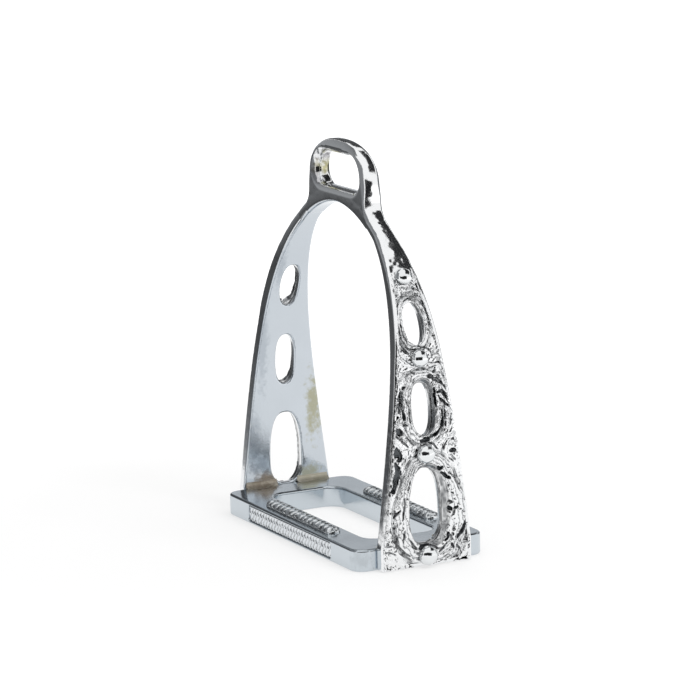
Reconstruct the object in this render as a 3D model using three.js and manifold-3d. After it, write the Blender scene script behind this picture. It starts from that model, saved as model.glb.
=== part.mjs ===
// Riding stirrup with a fixed strap eye, pierced ornamental arms and an open tread.
// Millimetres. X runs along the tread, Y from front (-) to rear (+), Z up.
// The origin is under the middle of the tread, on the ground.

import * as THREE from 'three';
import { mergeVertices } from 'three/addons/utils/BufferGeometryUtils.js';
import Module from 'manifold-3d';

const wasm = await Module();
wasm.setup();

// Tread
const TREAD_LENGTH = 122;
const TREAD_DEPTH = 60;
const TREAD_HEIGHT = 9.2;
const TREAD_CORNER = 6;
const TREAD_EDGE = 0.7;
const WINDOW_LENGTH = 92;
const WINDOW_DEPTH = 32.6;
const WINDOW_CORNER = 7;

// Arch
const ARCH_RISE = 132.4;
const ARCH_FULLNESS = 3.85;
const ARCH_SHOULDER = 1.8;
const ARM_THICKNESS = 5.4;
const ARM_FOOT_WIDTH = 41.6;
const ARM_NECK_WIDTH = 9;
const ARM_TAPER_HEIGHT = 120;
const ARM_TAPER_POWER = 0.94;
const ARM_ROUND = 1.3;
const FOOT_LIFT = 0.4;

// Strap eye
const SLOT_WIDTH = 40.6;
const SLOT_HEIGHT = 14.4;
const SLOT_TOP_ROUND = 8.2;
const SLOT_FOOT_ROUND = 5.6;
const EYE_SIDE_BAR = 4.3;
const EYE_TOP_BAR = 6;
const EYE_DEPTH = 8.6;
const EYE_ROUND = 2.3;
const EYE_INSET = 1.6;
const EYE_SHOULDER = 15;
const EYE_SHOULDER_DROP = 0.5;
const EYE_WIDEST = 7;
const NECK_INSET = 2.2;
const NECK_DROP = 1.5;
const NECK_SWEEP = 5;
const NECK_FLARE = 7;
const FLARE_SINK = 0.6;

// Pierced holes: height of the widest place above the tread, half width, reach up and down
const HOLES = [
  { height: 10.5, half: 7.4, up: 21, down: 10, square: 2.6 },
  { height: 55.4, half: 4.8, up: 10.8, down: 10.8, square: 2.5 },
  { height: 88.8, half: 4.7, up: 9.2, down: 9.2, square: 2.3 },
];

// Ornamental plates and their rings
const RIM = 1.7;
const POCKET_DEPTH = 2.5;
const POCKET_TOP = 117;
const POCKET_ROUND = 3;
const PLATE_BASE = 1;
const PLATE_BORDER = 1.1;
const RINGS = [
  { height: 13, half: 9, up: 20.4, down: 14.2, square: 2.3, width: 4.6 },
  { height: 57, half: 6.7, up: 12, down: 12, square: 2.3, width: 3.3 },
  { height: 90.2, half: 5.1, up: 7.7, down: 7.7, square: 2.2, width: 2.5 },
];

// Dome studs: height above the tread and radius
const STUDS = [
  { height: -4.1, radius: 4.6 },
  { height: 38, radius: 4.4 },
  { height: 76.6, radius: 4.2 },
  { height: 108.2, radius: 3.5 },
];
const DOME_RISE = 0.8;
const PEG_RADIUS = 1.2;
const PEG_LENGTH = 3.4;

// Leaves between the rings: root height above the tread, root offset, turn, length, width
const LEAVES = [
  { height: 38, offset: 5.4, turn: 68, length: 17, width: 5 },
  { height: 39.5, offset: 5.6, turn: 112, length: 12.5, width: 4.2 },
  { height: 33.5, offset: 10.5, turn: -50, length: 12, width: 4.4 },
  { height: 76.5, offset: 4.6, turn: 62, length: 9, width: 3.4 },
  { height: 75.5, offset: 4.6, turn: -62, length: 15, width: 4.6 },
  { height: 107, offset: 2, turn: -75, length: 12, width: 2.6 },
  { height: -6.5, offset: 6, turn: 6, length: 11, width: 3.6 },
  { height: 4, offset: 16.6, turn: -82, length: 11, width: 3.4 },
];
const LEAF_BELLY = 0.42;

// Grips
const GRIP_LENGTH = 60;
const GRIP_WIDTH = 7.2;
const GRIP_HEIGHT = 2.5;
const GRIP_SINK = 0.8;
const GRIP_ROUND = 1.1;
const RIB_PITCH = 4.4;
const RIB_WIDTH = 2.4;
const RIB_RISE = 0.6;
const RIB_INSET = 0.4;

// Friezes
const FRIEZE_LENGTH = 76;
const FRIEZE_BORDER = 1.5;
const FRIEZE_DEPTH = 1.3;
const FRIEZE_BASE = 0.5;
const FRIEZE_CORNER = 0.9;
const FRIEZE_PITCH = 7.6;
const FRIEZE_MARGIN = 0.5;

// Braze
const BRAZE_TOE = 7;
const BRAZE_RISE = 4.4;
const BRAZE_TIP = 0.5;
const BRAZE_HOLLOW = 1.2;
const BRAZE_INNER = 4.6;

// Gap between neighbours, and how far a cutter runs past what it cuts
const CLEARANCE = 0.3;
const BEYOND = 5;
const OVERCUT = 0.01;

// Facets, and the distance below which corners count as one
const ARC_STEPS = 24;
const FINE_STEPS = 4000;
const EGG_STEPS = 24;
const OUTLINE_STEPS = 14;
const STUD_SIDES = 14;
const DOME_STEPS = 5;
const PEG_SIDES = 12;
const SEAT_ROUNDS = 6;
const SAME_CORNER = 1e-5;
const WELD = 0.005;

const archFoot = TREAD_LENGTH / 2 + CLEARANCE;
const crown = TREAD_HEIGHT + ARCH_RISE;
const reach = archFoot + ARM_THICKNESS + 2 * BEYOND;

// Solids and geometry

function solidOf(geometry) {
  const bare = new THREE.BufferGeometry();
  bare.setAttribute('position', geometry.getAttribute('position').clone());
  if (geometry.index) bare.setIndex(geometry.index.clone());
  const merged = mergeVertices(bare, SAME_CORNER);
  return new wasm.Manifold(new wasm.Mesh({
    numProp: 3,
    vertProperties: new Float32Array(merged.getAttribute('position').array),
    triVerts: new Uint32Array(merged.index.array),
  }));
}

// The cut surface of a solid, with corners closer than WELD joined into one
function geometryOf(solid) {
  const { vertProperties, triVerts } = solid.getMesh();
  const corners = [];
  const joinedTo = [];
  for (let i = 0; i < vertProperties.length; i += 3) {
    const here = new THREE.Vector3().fromArray(vertProperties, i);
    let found = corners.findIndex((corner) => corner.distanceToSquared(here) < WELD * WELD);
    if (found < 0) found = corners.push(here) - 1;
    joinedTo.push(found);
  }
  const positions = [];
  for (let i = 0; i < triVerts.length; i += 3) {
    const [a, b, c] = [0, 1, 2].map((k) => joinedTo[triVerts[i + k]]);
    if (a === b || b === c || c === a) continue;
    for (const k of [a, b, c]) positions.push(...corners[k].toArray());
  }
  const geometry = new THREE.BufferGeometry();
  geometry.setAttribute('position', new THREE.Float32BufferAttribute(positions, 3));
  geometry.computeVertexNormals();
  return geometry;
}

function joined(solids) {
  return solids.reduce((sum, next) => sum.add(next));
}

// A shape drawn in X and Y, run upward between two planes
function alongZ(shape, from, to, options = {}) {
  const geometry = new THREE.ExtrudeGeometry(shape, { depth: to - from, bevelEnabled: false, ...options });
  geometry.translate(0, 0, from);
  return geometry;
}

// A shape drawn in X and Z, run along Y between two planes
function alongY(shape, from, to, options = {}) {
  const geometry = alongZ(shape, 0, to - from, options);
  geometry.rotateX(Math.PI / 2);
  geometry.translate(0, to, 0);
  return geometry;
}

// A shape drawn in Y and Z, run along X between two planes
function alongX(shape, from, to, options = {}) {
  const geometry = alongZ(shape, 0, to - from, options);
  const turn = new THREE.Matrix4().makeBasis(
    new THREE.Vector3(0, 1, 0), new THREE.Vector3(0, 0, 1), new THREE.Vector3(1, 0, 0));
  geometry.applyMatrix4(turn);
  geometry.translate(from, 0, 0);
  return geometry;
}

function polygon(points) {
  return new THREE.Shape(points.map(([x, y]) => new THREE.Vector2(x, y)));
}

function roundedRectangle(width, height, radius, cx = 0, cy = 0) {
  const r = Math.min(radius, width / 2, height / 2);
  const [left, right] = [cx - width / 2, cx + width / 2];
  const [low, high] = [cy - height / 2, cy + height / 2];
  const shape = new THREE.Shape();
  shape.moveTo(left + r, low);
  shape.lineTo(right - r, low);
  shape.absarc(right - r, low + r, r, -Math.PI / 2, 0, false);
  shape.lineTo(right, high - r);
  shape.absarc(right - r, high - r, r, 0, Math.PI / 2, false);
  shape.lineTo(left + r, high);
  shape.absarc(left + r, high - r, r, Math.PI / 2, Math.PI, false);
  shape.lineTo(left, low + r);
  shape.absarc(left + r, low + r, r, Math.PI, 1.5 * Math.PI, false);
  return shape;
}

// An egg-shaped outline in Y and Z, wider by grow on every side
function egg({ height, half, up, down, square }, grow = 0) {
  const points = [];
  const power = 2 / square;
  for (let i = 0; i < EGG_STEPS; i += 1) {
    const angle = (2 * Math.PI * i) / EGG_STEPS;
    const [c, s] = [Math.cos(angle), Math.sin(angle)];
    const rise = (s > 0 ? up : down) + grow;
    points.push([
      Math.sign(c) * Math.abs(c) ** power * (half + grow),
      TREAD_HEIGHT + height + Math.sign(s) * Math.abs(s) ** power * rise,
    ]);
  }
  return points;
}

function mirrored(points) {
  return points.map(([across, z]) => [-across, z]).reverse();
}

// The arch: stations along its inner curve, from the right foot to the crown

function archPoint(turn) {
  return new THREE.Vector2(
    archFoot * Math.cos(turn) ** (2 / ARCH_SHOULDER),
    TREAD_HEIGHT + ARCH_RISE * Math.sin(turn) ** (2 / ARCH_FULLNESS));
}

function archStations() {
  const fine = [];
  for (let i = 0; i <= FINE_STEPS; i += 1) fine.push(archPoint((i / FINE_STEPS) * (Math.PI / 2)));
  fine[FINE_STEPS].x = 0;
  const run = [0];
  for (let i = 1; i <= FINE_STEPS; i += 1) run.push(run[i - 1] + fine[i].distanceTo(fine[i - 1]));
  const found = [{ x: archFoot, z: FOOT_LIFT, nx: 1, nz: 0 }];
  const nearby = 8;
  let k = 0;
  for (let i = 0; i <= ARC_STEPS; i += 1) {
    const goal = (run[FINE_STEPS] * i) / ARC_STEPS;
    while (k < FINE_STEPS - 1 && run[k + 1] < goal) k += 1;
    const share = (goal - run[k]) / (run[k + 1] - run[k]);
    const here = fine[k].clone().lerp(fine[k + 1], share);
    const before = fine[Math.max(k - nearby, 0)];
    const after = fine[Math.min(k + 1 + nearby, FINE_STEPS)];
    const along = after.clone().sub(before).normalize();
    let [nx, nz] = [along.y, -along.x];
    if (i === 0) [nx, nz] = [1, 0];
    if (i === ARC_STEPS) [nx, nz] = [0, 1];
    found.push({ x: here.x, z: here.y, nx, nz });
  }
  return found;
}

const stations = archStations();

function offsetPoint(station, distance) {
  return [station.x + station.nx * distance, station.z + station.nz * distance];
}

function stationAt(z) {
  const i = Math.max(1, stations.findIndex((station) => station.z >= z));
  const [low, high] = [stations[i - 1], stations[i]];
  const share = (z - low.z) / (high.z - low.z);
  const mix = (key) => low[key] + (high[key] - low[key]) * share;
  const length = Math.hypot(mix('nx'), mix('nz'));
  return { x: mix('x'), z, nx: mix('nx') / length, nz: mix('nz') / length };
}

// Width of an arm, front to rear, at a height above the ground
function armWidth(z) {
  const rise = THREE.MathUtils.clamp((z - TREAD_HEIGHT) / ARM_TAPER_HEIGHT, 0, 1);
  return ARM_NECK_WIDTH + (ARM_FOOT_WIDTH - ARM_NECK_WIDTH) * (1 - rise) ** ARM_TAPER_POWER;
}

// Rounded section of the arch as pairs: place along Y, place through the thickness
function armSection(width, thickness) {
  const r = Math.min(ARM_ROUND, width / 3, thickness / 3);
  const corners = [
    [width / 2 - r, thickness - r], [-width / 2 + r, thickness - r],
    [-width / 2 + r, r], [width / 2 - r, r],
  ];
  return corners.flatMap(([y, a], quarter) => [0, 0.5, 1].map((share) => {
    const angle = (quarter + share) * (Math.PI / 2);
    return [y + r * Math.cos(angle), a + r * Math.sin(angle)];
  }));
}

// A closed skin over equal rings of points, with flat ends
function loft(rings) {
  const size = rings[0].length;
  const triangles = [];
  for (let i = 0; i + 1 < rings.length; i += 1) {
    for (let j = 0; j < size; j += 1) {
      const [a, b] = [i * size + j, i * size + ((j + 1) % size)];
      triangles.push(a, b + size, b, a, a + size, b + size);
    }
  }
  const last = (rings.length - 1) * size;
  for (let j = 1; j + 1 < size; j += 1) {
    triangles.push(0, j, j + 1, last, last + j + 1, last + j);
  }
  const geometry = new THREE.BufferGeometry();
  geometry.setAttribute('position', new THREE.Float32BufferAttribute(rings.flat(2), 3));
  geometry.setIndex(triangles);
  return geometry;
}

function archSolid() {
  const left = stations.slice(0, -1).map((station) => ({ ...station, x: -station.x, nx: -station.nx }));
  const whole = [...stations, ...left.reverse()];
  const rings = whole.map((station) => armSection(armWidth(station.z), ARM_THICKNESS).map(([y, a]) => {
    const [x, z] = offsetPoint(station, a);
    return [x, y, z];
  }));
  return solidOf(loft(rings));
}

// Strap eye, standing on the crown

const slotFoot = crown + ARM_THICKNESS;
const slotTop = slotFoot + SLOT_HEIGHT;
const eyeTop = slotTop + EYE_TOP_BAR;
const eyeHalf = SLOT_WIDTH / 2 + EYE_SIDE_BAR;

// Outer outline of the eye, with its neck flaring into the arch on both sides
function eyeOutline() {
  const neckHalf = eyeHalf - NECK_INSET;
  const neck = slotFoot - NECK_DROP;
  const shoulder = eyeTop - EYE_SHOULDER_DROP;
  const handle = EYE_SHOULDER / 2;
  const flare = stations
    .map((station) => offsetPoint(station, ARM_THICKNESS - FLARE_SINK))
    .filter(([x]) => x > neckHalf + NECK_FLARE)
    .pop();
  const right = new THREE.Path();
  right.moveTo(flare[0], flare[1]);
  right.quadraticCurveTo(neckHalf, neck - NECK_SWEEP, neckHalf, neck);
  right.bezierCurveTo(
    neckHalf, neck + NECK_SWEEP, eyeHalf, neck + NECK_SWEEP, eyeHalf, slotTop - EYE_WIDEST);
  right.bezierCurveTo(
    eyeHalf, eyeTop - handle, eyeHalf - handle, shoulder, eyeHalf - EYE_SHOULDER, shoulder);
  const rise = right.getPoints(6).map((point) => [point.x, point.y]);
  const low = flare[1] - EYE_DEPTH;
  return polygon([[flare[0], low], ...rise, [0, eyeTop], ...mirrored(rise), [-flare[0], low]]);
}

// What lies under the middle of the arch's thickness
function underArch() {
  const right = stations.map((station) => offsetPoint(station, ARM_THICKNESS / 2));
  return solidOf(alongY(polygon([...right, ...mirrored(right.slice(0, -1))]), -EYE_DEPTH, EYE_DEPTH));
}

function slotPath() {
  const half = SLOT_WIDTH / 2;
  const [t, f] = [SLOT_TOP_ROUND, SLOT_FOOT_ROUND];
  const path = new THREE.Path();
  path.moveTo(-half + f, slotFoot);
  path.lineTo(half - f, slotFoot);
  path.absarc(half - f, slotFoot + f, f, -Math.PI / 2, 0, false);
  path.lineTo(half, slotTop - t);
  path.absarc(half - t, slotTop - t, t, 0, Math.PI / 2, false);
  path.lineTo(-half + t, slotTop);
  path.absarc(-half + t, slotTop - t, t, Math.PI / 2, Math.PI, false);
  path.lineTo(-half, slotFoot + f);
  path.absarc(-half + f, slotFoot + f, f, Math.PI, 1.5 * Math.PI, false);
  return path;
}

function eyeSolid() {
  const shape = eyeOutline();
  shape.holes.push(slotPath());
  const flat = EYE_DEPTH / 2 - EYE_ROUND;
  return solidOf(alongY(shape, -flat, flat, {
    bevelEnabled: true, bevelThickness: EYE_ROUND, bevelSize: EYE_INSET,
    bevelOffset: -EYE_INSET, bevelSegments: 2, curveSegments: 4,
  })).subtract(underArch());
}

// Plates, their pockets and the studs

const pocketFloor = ARM_THICKNESS - POCKET_DEPTH;

// Everything between two distances from the inner curve of the right arm, below the eye's flare
function armBand(from, to) {
  const used = stations.filter((station) => station.x > BEYOND);
  const below = { ...used[0], z: -BEYOND };
  const inner = [below, ...used].map((station) => offsetPoint(station, from));
  const outer = [below, ...used].map((station) => offsetPoint(station, to));
  return solidOf(alongY(polygon([...inner, ...outer.reverse()]), -TREAD_DEPTH, TREAD_DEPTH));
}

// The arm's outline seen from its side, drawn in from its edges
function armOutline(inset) {
  const low = FOOT_LIFT + inset;
  const high = TREAD_HEIGHT + POCKET_TOP + RIM - inset;
  const [from, to] = [low + POCKET_ROUND, high - POCKET_ROUND];
  const side = [];
  for (let i = 0; i <= OUTLINE_STEPS; i += 1) {
    const z = from + (to - from) * (i / OUTLINE_STEPS);
    side.push([armWidth(z) / 2 - inset, z]);
  }
  const cut = POCKET_ROUND * (1 - Math.SQRT1_2);
  const foot = side[0][0];
  const top = side[OUTLINE_STEPS][0];
  const right = [
    [foot - POCKET_ROUND, low], [foot - cut, low + cut], ...side, [top * Math.SQRT1_2, high - cut],
  ];
  return polygon([...right, [0, high], ...mirrored(right)]);
}

function pocketSolid() {
  const outline = solidOf(alongX(armOutline(RIM), 0, reach));
  return armBand(pocketFloor, ARM_THICKNESS + BEYOND).intersect(outline);
}

function leafShape({ height, offset, turn, length, width }, side) {
  const angle = THREE.MathUtils.degToRad(turn);
  const [dy, dz] = [Math.cos(angle), Math.sin(angle)];
  const at = (along, across) => [
    side * (offset + along * dy - across * dz),
    TREAD_HEIGHT + height + along * dz + across * dy,
  ];
  const shape = new THREE.Shape();
  shape.moveTo(...at(0, 0));
  shape.quadraticCurveTo(...at(length * LEAF_BELLY, width), ...at(length, 0));
  shape.quadraticCurveTo(...at(length * LEAF_BELLY, -width), ...at(0, 0));
  return shape;
}

function ringSolid(ring) {
  const shape = polygon(egg(ring, ring.width));
  shape.holes.push(polygon(egg(ring, -OVERCUT)));
  return solidOf(alongX(shape, 0, reach));
}

// The place on the arch whose outer surface is at a stud's height
function studSeat({ height }) {
  const goal = TREAD_HEIGHT + height;
  let seat = stationAt(goal);
  for (let i = 0; i < SEAT_ROUNDS; i += 1) seat = stationAt(goal - seat.nz * ARM_THICKNESS);
  return seat;
}

// Stands a geometry that rises along Y on the arm's outer surface
function onArm(geometry, seat) {
  const [x, z] = offsetPoint(seat, ARM_THICKNESS);
  const normal = new THREE.Vector3(seat.nx, 0, seat.nz);
  geometry.applyQuaternion(new THREE.Quaternion().setFromUnitVectors(new THREE.Vector3(0, 1, 0), normal));
  geometry.translate(x, 0, z);
  return geometry;
}

function pegHole(stud) {
  const radius = PEG_RADIUS + CLEARANCE;
  const length = PEG_LENGTH + BEYOND;
  const drill = new THREE.CylinderGeometry(radius, radius, length, PEG_SIDES);
  drill.translate(0, length / 2 - PEG_LENGTH, 0);
  return solidOf(onArm(drill, studSeat(stud)));
}

function studSolid(stud) {
  const rise = stud.radius * DOME_RISE;
  const tip = CLEARANCE - PEG_LENGTH;
  const profile = [[0, tip], [PEG_RADIUS, tip], [PEG_RADIUS, CLEARANCE], [stud.radius, CLEARANCE]];
  for (let i = 1; i < DOME_STEPS; i += 1) {
    const angle = (i / DOME_STEPS) * (Math.PI / 2);
    profile.push([stud.radius * Math.cos(angle), CLEARANCE + rise * Math.sin(angle)]);
  }
  profile.push([0, CLEARANCE + rise]);
  const dome = new THREE.LatheGeometry(profile.map(([x, y]) => new THREE.Vector2(x, y)), STUD_SIDES);
  return solidOf(onArm(dome, studSeat(stud)));
}

function plateSolid() {
  const edge = RIM + CLEARANCE;
  const outline = solidOf(alongX(armOutline(edge), 0, reach));
  const inside = solidOf(alongX(armOutline(edge + PLATE_BORDER), 0, reach));
  const back = pocketFloor + CLEARANCE;
  const leaves = LEAVES.flatMap((leaf) => [1, -1].map((side) =>
    solidOf(alongX(leafShape(leaf, side), 0, reach, { curveSegments: 3 }))));
  const ornament = joined([outline.subtract(inside), ...RINGS.map(ringSolid), ...leaves]);
  const base = armBand(back, back + PLATE_BASE).intersect(outline);
  const relief = armBand(back, ARM_THICKNESS).intersect(outline).intersect(ornament);
  const openings = joined(RINGS.map((ring) => solidOf(alongX(polygon(egg(ring)), 0, reach))));
  return base.add(relief).subtract(openings).subtract(joined(STUDS.map(pegHole)));
}

function bowSolid() {
  const holes = HOLES.map((hole) => solidOf(alongX(polygon(egg(hole)), -reach, reach)));
  const pocket = pocketSolid();
  const pegs = joined(STUDS.map(pegHole));
  const halfTurn = [0, 0, 180];
  return archSolid().add(eyeSolid())
    .subtract(joined([pocket, pocket.rotate(halfTurn), pegs, pegs.rotate(halfTurn), ...holes]));
}

// Tread

const gripPlace = (TREAD_DEPTH + WINDOW_DEPTH) / 4;
const friezeHeight = TREAD_HEIGHT - 2 * FRIEZE_BORDER;

function gripPlan(grow) {
  return roundedRectangle(GRIP_LENGTH + 2 * grow, GRIP_WIDTH + 2 * grow, GRIP_WIDTH / 2 + grow);
}

function friezePlan(grow) {
  return roundedRectangle(
    FRIEZE_LENGTH + 2 * grow, friezeHeight + 2 * grow, FRIEZE_CORNER + grow, 0, TREAD_HEIGHT / 2);
}

function treadSolid() {
  const plan = roundedRectangle(TREAD_LENGTH, TREAD_DEPTH, TREAD_CORNER);
  plan.holes.push(roundedRectangle(WINDOW_LENGTH, WINDOW_DEPTH, WINDOW_CORNER));
  const block = solidOf(alongZ(plan, TREAD_EDGE, TREAD_HEIGHT - TREAD_EDGE, {
    bevelEnabled: true, bevelThickness: TREAD_EDGE, bevelSize: TREAD_EDGE,
    bevelOffset: -TREAD_EDGE, bevelSegments: 2, curveSegments: 6,
  }));
  const bed = solidOf(alongZ(
    gripPlan(CLEARANCE), TREAD_HEIGHT - GRIP_SINK - CLEARANCE, TREAD_HEIGHT + BEYOND, { curveSegments: 5 }));
  const recess = solidOf(alongY(
    friezePlan(CLEARANCE), TREAD_DEPTH / 2 - FRIEZE_DEPTH - CLEARANCE, TREAD_DEPTH / 2 + BEYOND,
    { curveSegments: 3 }));
  return block.subtract(joined([
    bed.translate([0, gripPlace, 0]), bed.translate([0, -gripPlace, 0]), recess, recess.rotate([0, 0, 180]),
  ]));
}

// A ribbed grip bar, lying along X at the middle of the tread
function gripSolid() {
  const low = TREAD_HEIGHT - GRIP_SINK;
  const high = TREAD_HEIGHT + GRIP_HEIGHT;
  const shoulder = high - RIB_RISE - GRIP_ROUND;
  const core = solidOf(alongZ(gripPlan(0), low, shoulder, { curveSegments: 5 }));
  const cap = solidOf(alongZ(gripPlan(0), shoulder - OVERCUT, shoulder, {
    bevelEnabled: true, bevelThickness: GRIP_ROUND, bevelSize: GRIP_ROUND, bevelOffset: -GRIP_ROUND,
    bevelSegments: 2, curveSegments: 5,
  }));
  const foot = TREAD_HEIGHT + CLEARANCE;
  const across = roundedRectangle(GRIP_WIDTH - 2 * RIB_INSET, high - foot, GRIP_ROUND, 0, (high + foot) / 2);
  const count = Math.floor((GRIP_LENGTH - GRIP_WIDTH) / RIB_PITCH);
  const ribs = [];
  for (let i = 0; i < count; i += 1) {
    const at = (i - (count - 1) / 2) * RIB_PITCH;
    ribs.push(solidOf(alongX(across, at - RIB_WIDTH / 2, at + RIB_WIDTH / 2, { curveSegments: 2 })));
  }
  return joined([core, cap, ...ribs]);
}

// A strip of leaning leaves that lies in the tread's rear face
function friezeSolid() {
  const face = TREAD_DEPTH / 2;
  const floor = face - FRIEZE_DEPTH;
  const middle = TREAD_HEIGHT / 2;
  const [w, h] = [FRIEZE_PITCH / 2 - FRIEZE_MARGIN, friezeHeight / 2 - FRIEZE_MARGIN];
  const count = Math.floor((FRIEZE_LENGTH - FRIEZE_PITCH / 2) / FRIEZE_PITCH);
  const leaves = [];
  for (let i = 0; i < count; i += 1) {
    const at = (i - (count - 1) / 2) * FRIEZE_PITCH;
    const lean = i % 2 === 0 ? h : -h;
    const shape = new THREE.Shape();
    shape.moveTo(at - w, middle - lean);
    shape.quadraticCurveTo(at + w / 2, middle - lean, at + w, middle + lean);
    shape.quadraticCurveTo(at - w / 2, middle + lean, at - w, middle - lean);
    leaves.push(solidOf(alongY(shape, floor, face, { curveSegments: 5 })));
  }
  const base = solidOf(alongY(friezePlan(0), floor, floor + FRIEZE_BASE, { curveSegments: 3 }));
  return joined([base, ...leaves]);
}

// Braze between the right arm's inner face and the tread's top, beside the lowest hole
function brazeSolid(side) {
  const wall = TREAD_LENGTH / 2;
  const floor = TREAD_HEIGHT + CLEARANCE;
  const shape = new THREE.Shape();
  shape.moveTo(wall, floor);
  shape.lineTo(wall, floor + BRAZE_RISE);
  shape.quadraticCurveTo(
    wall - BRAZE_HOLLOW, floor + BRAZE_HOLLOW, wall - BRAZE_TOE, floor + BRAZE_TIP);
  shape.lineTo(wall - BRAZE_TOE, floor);
  const outer = ARM_FOOT_WIDTH / 2 - ARM_ROUND;
  const [from, to] = side > 0 ? [BRAZE_INNER, outer] : [-outer, -BRAZE_INNER];
  const bead = solidOf(alongY(shape, from, to, { curveSegments: 6 }));
  return bead.subtract(solidOf(alongX(polygon(egg(HOLES[0])), 0, reach)));
}

// Materials and the assembly

function metal(color, roughness) {
  return new THREE.MeshStandardMaterial({ color, roughness, metalness: 1 });
}

const polished = metal(0xd9dde2, 0.12);
const satin = metal(0xb9bcc8, 0.3);
const bright = metal(0xe6e9ec, 0.1);
const ribbed = metal(0x8d9294, 0.28);
const stained = metal(0xa98c5a, 0.35);

const stirrup = new THREE.Group();

function place(name, solid, material, turned = false) {
  const mesh = new THREE.Mesh(geometryOf(solid), material);
  mesh.name = name;
  if (turned) mesh.rotation.z = Math.PI;
  stirrup.add(mesh);
}

place('bow', bowSolid(), polished);
place('tread_frame', treadSolid(), satin);

const grip = gripSolid();
place('rear_grip', grip.translate([0, gripPlace, 0]), ribbed);
place('front_grip', grip.translate([0, -gripPlace, 0]), ribbed);

const frieze = friezeSolid();
place('rear_frieze', frieze, bright);
place('front_frieze', frieze, bright, true);

const plate = plateSolid();
place('right_plate', plate, bright);
place('left_plate', plate, bright, true);

STUDS.forEach((stud, i) => {
  const dome = studSolid(stud);
  place(`right_stud_${i + 1}`, dome, bright);
  place(`left_stud_${i + 1}`, dome, bright, true);
});

for (const [name, side] of [['rear', 1], ['front', -1]]) {
  const bead = brazeSolid(side);
  place(`right_${name}_braze`, bead, stained);
  place(`left_${name}_braze`, bead, stained, true);
}

export default stirrup;
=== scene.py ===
"""Looks of a chrome riding stirrup: a pierced arch with ornamented arms, and an open tread."""

import math

import bpy
import numpy as np
from mathutils import Matrix, Vector


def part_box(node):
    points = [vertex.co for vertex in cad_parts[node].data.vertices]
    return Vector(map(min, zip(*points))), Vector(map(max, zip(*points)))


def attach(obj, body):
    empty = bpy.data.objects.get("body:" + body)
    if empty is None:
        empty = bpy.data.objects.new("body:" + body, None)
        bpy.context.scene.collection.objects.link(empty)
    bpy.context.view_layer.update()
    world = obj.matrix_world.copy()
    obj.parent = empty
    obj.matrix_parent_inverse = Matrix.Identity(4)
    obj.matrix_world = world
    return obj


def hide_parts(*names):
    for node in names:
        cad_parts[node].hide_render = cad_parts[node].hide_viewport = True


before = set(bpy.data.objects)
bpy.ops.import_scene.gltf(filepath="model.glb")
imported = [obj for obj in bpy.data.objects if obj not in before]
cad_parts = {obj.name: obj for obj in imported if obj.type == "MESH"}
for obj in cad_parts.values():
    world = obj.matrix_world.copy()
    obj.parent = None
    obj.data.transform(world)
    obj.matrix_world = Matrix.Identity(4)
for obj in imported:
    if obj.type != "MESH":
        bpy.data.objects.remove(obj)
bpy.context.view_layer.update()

# Sizes are in millimetres up to the point where a mesh is made
MM = 0.001
tread_low, tread_high = (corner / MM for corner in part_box("tread_frame"))

# Tread
TREAD_LENGTH = tread_high.x - tread_low.x
TREAD_DEPTH = tread_high.y - tread_low.y
TREAD_HEIGHT = tread_high.z
TREAD_CORNER = 6
TREAD_EDGE = 1.0
WINDOW_LENGTH = 92
WINDOW_DEPTH = 32.6
WINDOW_CORNER = 7

# Arch and arms
CLEARANCE = 0.3
ARCH_FOOT = TREAD_LENGTH / 2 + CLEARANCE
ARCH_RISE = 132.4
ARCH_FULLNESS = 3.85
ARCH_SHOULDER = 1.8
ARM_THICKNESS = 5.4
ARM_FOOT_WIDTH = 41.6
ARM_NECK_WIDTH = 9
ARM_TAPER_HEIGHT = 120
ARM_TAPER_POWER = 0.94
ARM_ROUND = 0.8
NECK_ROUND = 1.8
SIDE_CROWN = 0.06
OUTER_CROWN = 0.16
RIM_SUNK = 0.7
FOOT_LIFT = 0.4

# Heights over which the arms' edges grow round, the sunk rim ends and the hammering comes and goes
ROUND_BAND = (100, 136)
EYE_ROUND_BAND = (145, 152)
SUNK_BAND = (80, 92)
HAMMER_BAND = (112, 120)
HARD_HAMMER_BAND = (124, 132)
EYE_HAMMER_BAND = (138, 146)

# Lumps in the hammered faces and the worn grips: rise and size
HAMMER_DENTS = [(0.1, 3), (0.045, 1.3)]
GRIP_WEAR = [(0.05, 0.7), (0.14, 1.7)]

# Strap eye
SLOT_WIDTH = 38
SLOT_HEIGHT = 14.4
SLOT_TOP_ROUND = 8.2
SLOT_FOOT_ROUND = 5.6
EYE_SIDE_BAR = 7
EYE_TOP_BAR = 6
EYE_ROUND = 3.2
EYE_MIDDLE = 150
EYE_FALL = 30
EYE_LEAN = 0.6
EYE_SQUARE = 2.3
NECK_FILLET = 4.5

# Holes and the rings round them: height above the tread, half width, reach up and down and how
# square they are, and the rings' own width and how far they lie toward the rear
HOLES = [
    dict(height=10.5, half=7.4, up=21, down=10, square=2.6),
    dict(height=55.4, half=4.4, up=10.8, down=10.8, square=2.5),
    dict(height=88.8, half=4.3, up=9.2, down=9.2, square=2.3),
]
RINGS = [
    dict(height=13, half=9, up=20.4, down=14.2, square=2.3, width=4.6, aside=1.2),
    dict(height=57, half=5.8, up=11.6, down=11.6, square=2.3, width=3.6, aside=0.25),
    dict(height=90.2, half=4.5, up=7.7, down=7.7, square=2.2, width=2.7, aside=-0.3),
]
HOLE_ROUND = 0.7
RIM = 1.7
POCKET_DEPTH = 2.5
POCKET_TOP = 109
POCKET_ROUND = 3
POCKET_EDGE = 0.2

# Ornament: its top end sinks away, its edge is a raised border, and a slip keeps faces apart
SLIP = 0.1
SINKING = 0.9
SINKING_BAND = (118, 123)
BORDER_RISE = 0.35
BORDER_HALF = 0.7
BORDER_INSET = 0.9
ORNAMENT_ROUND = 1.3

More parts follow.
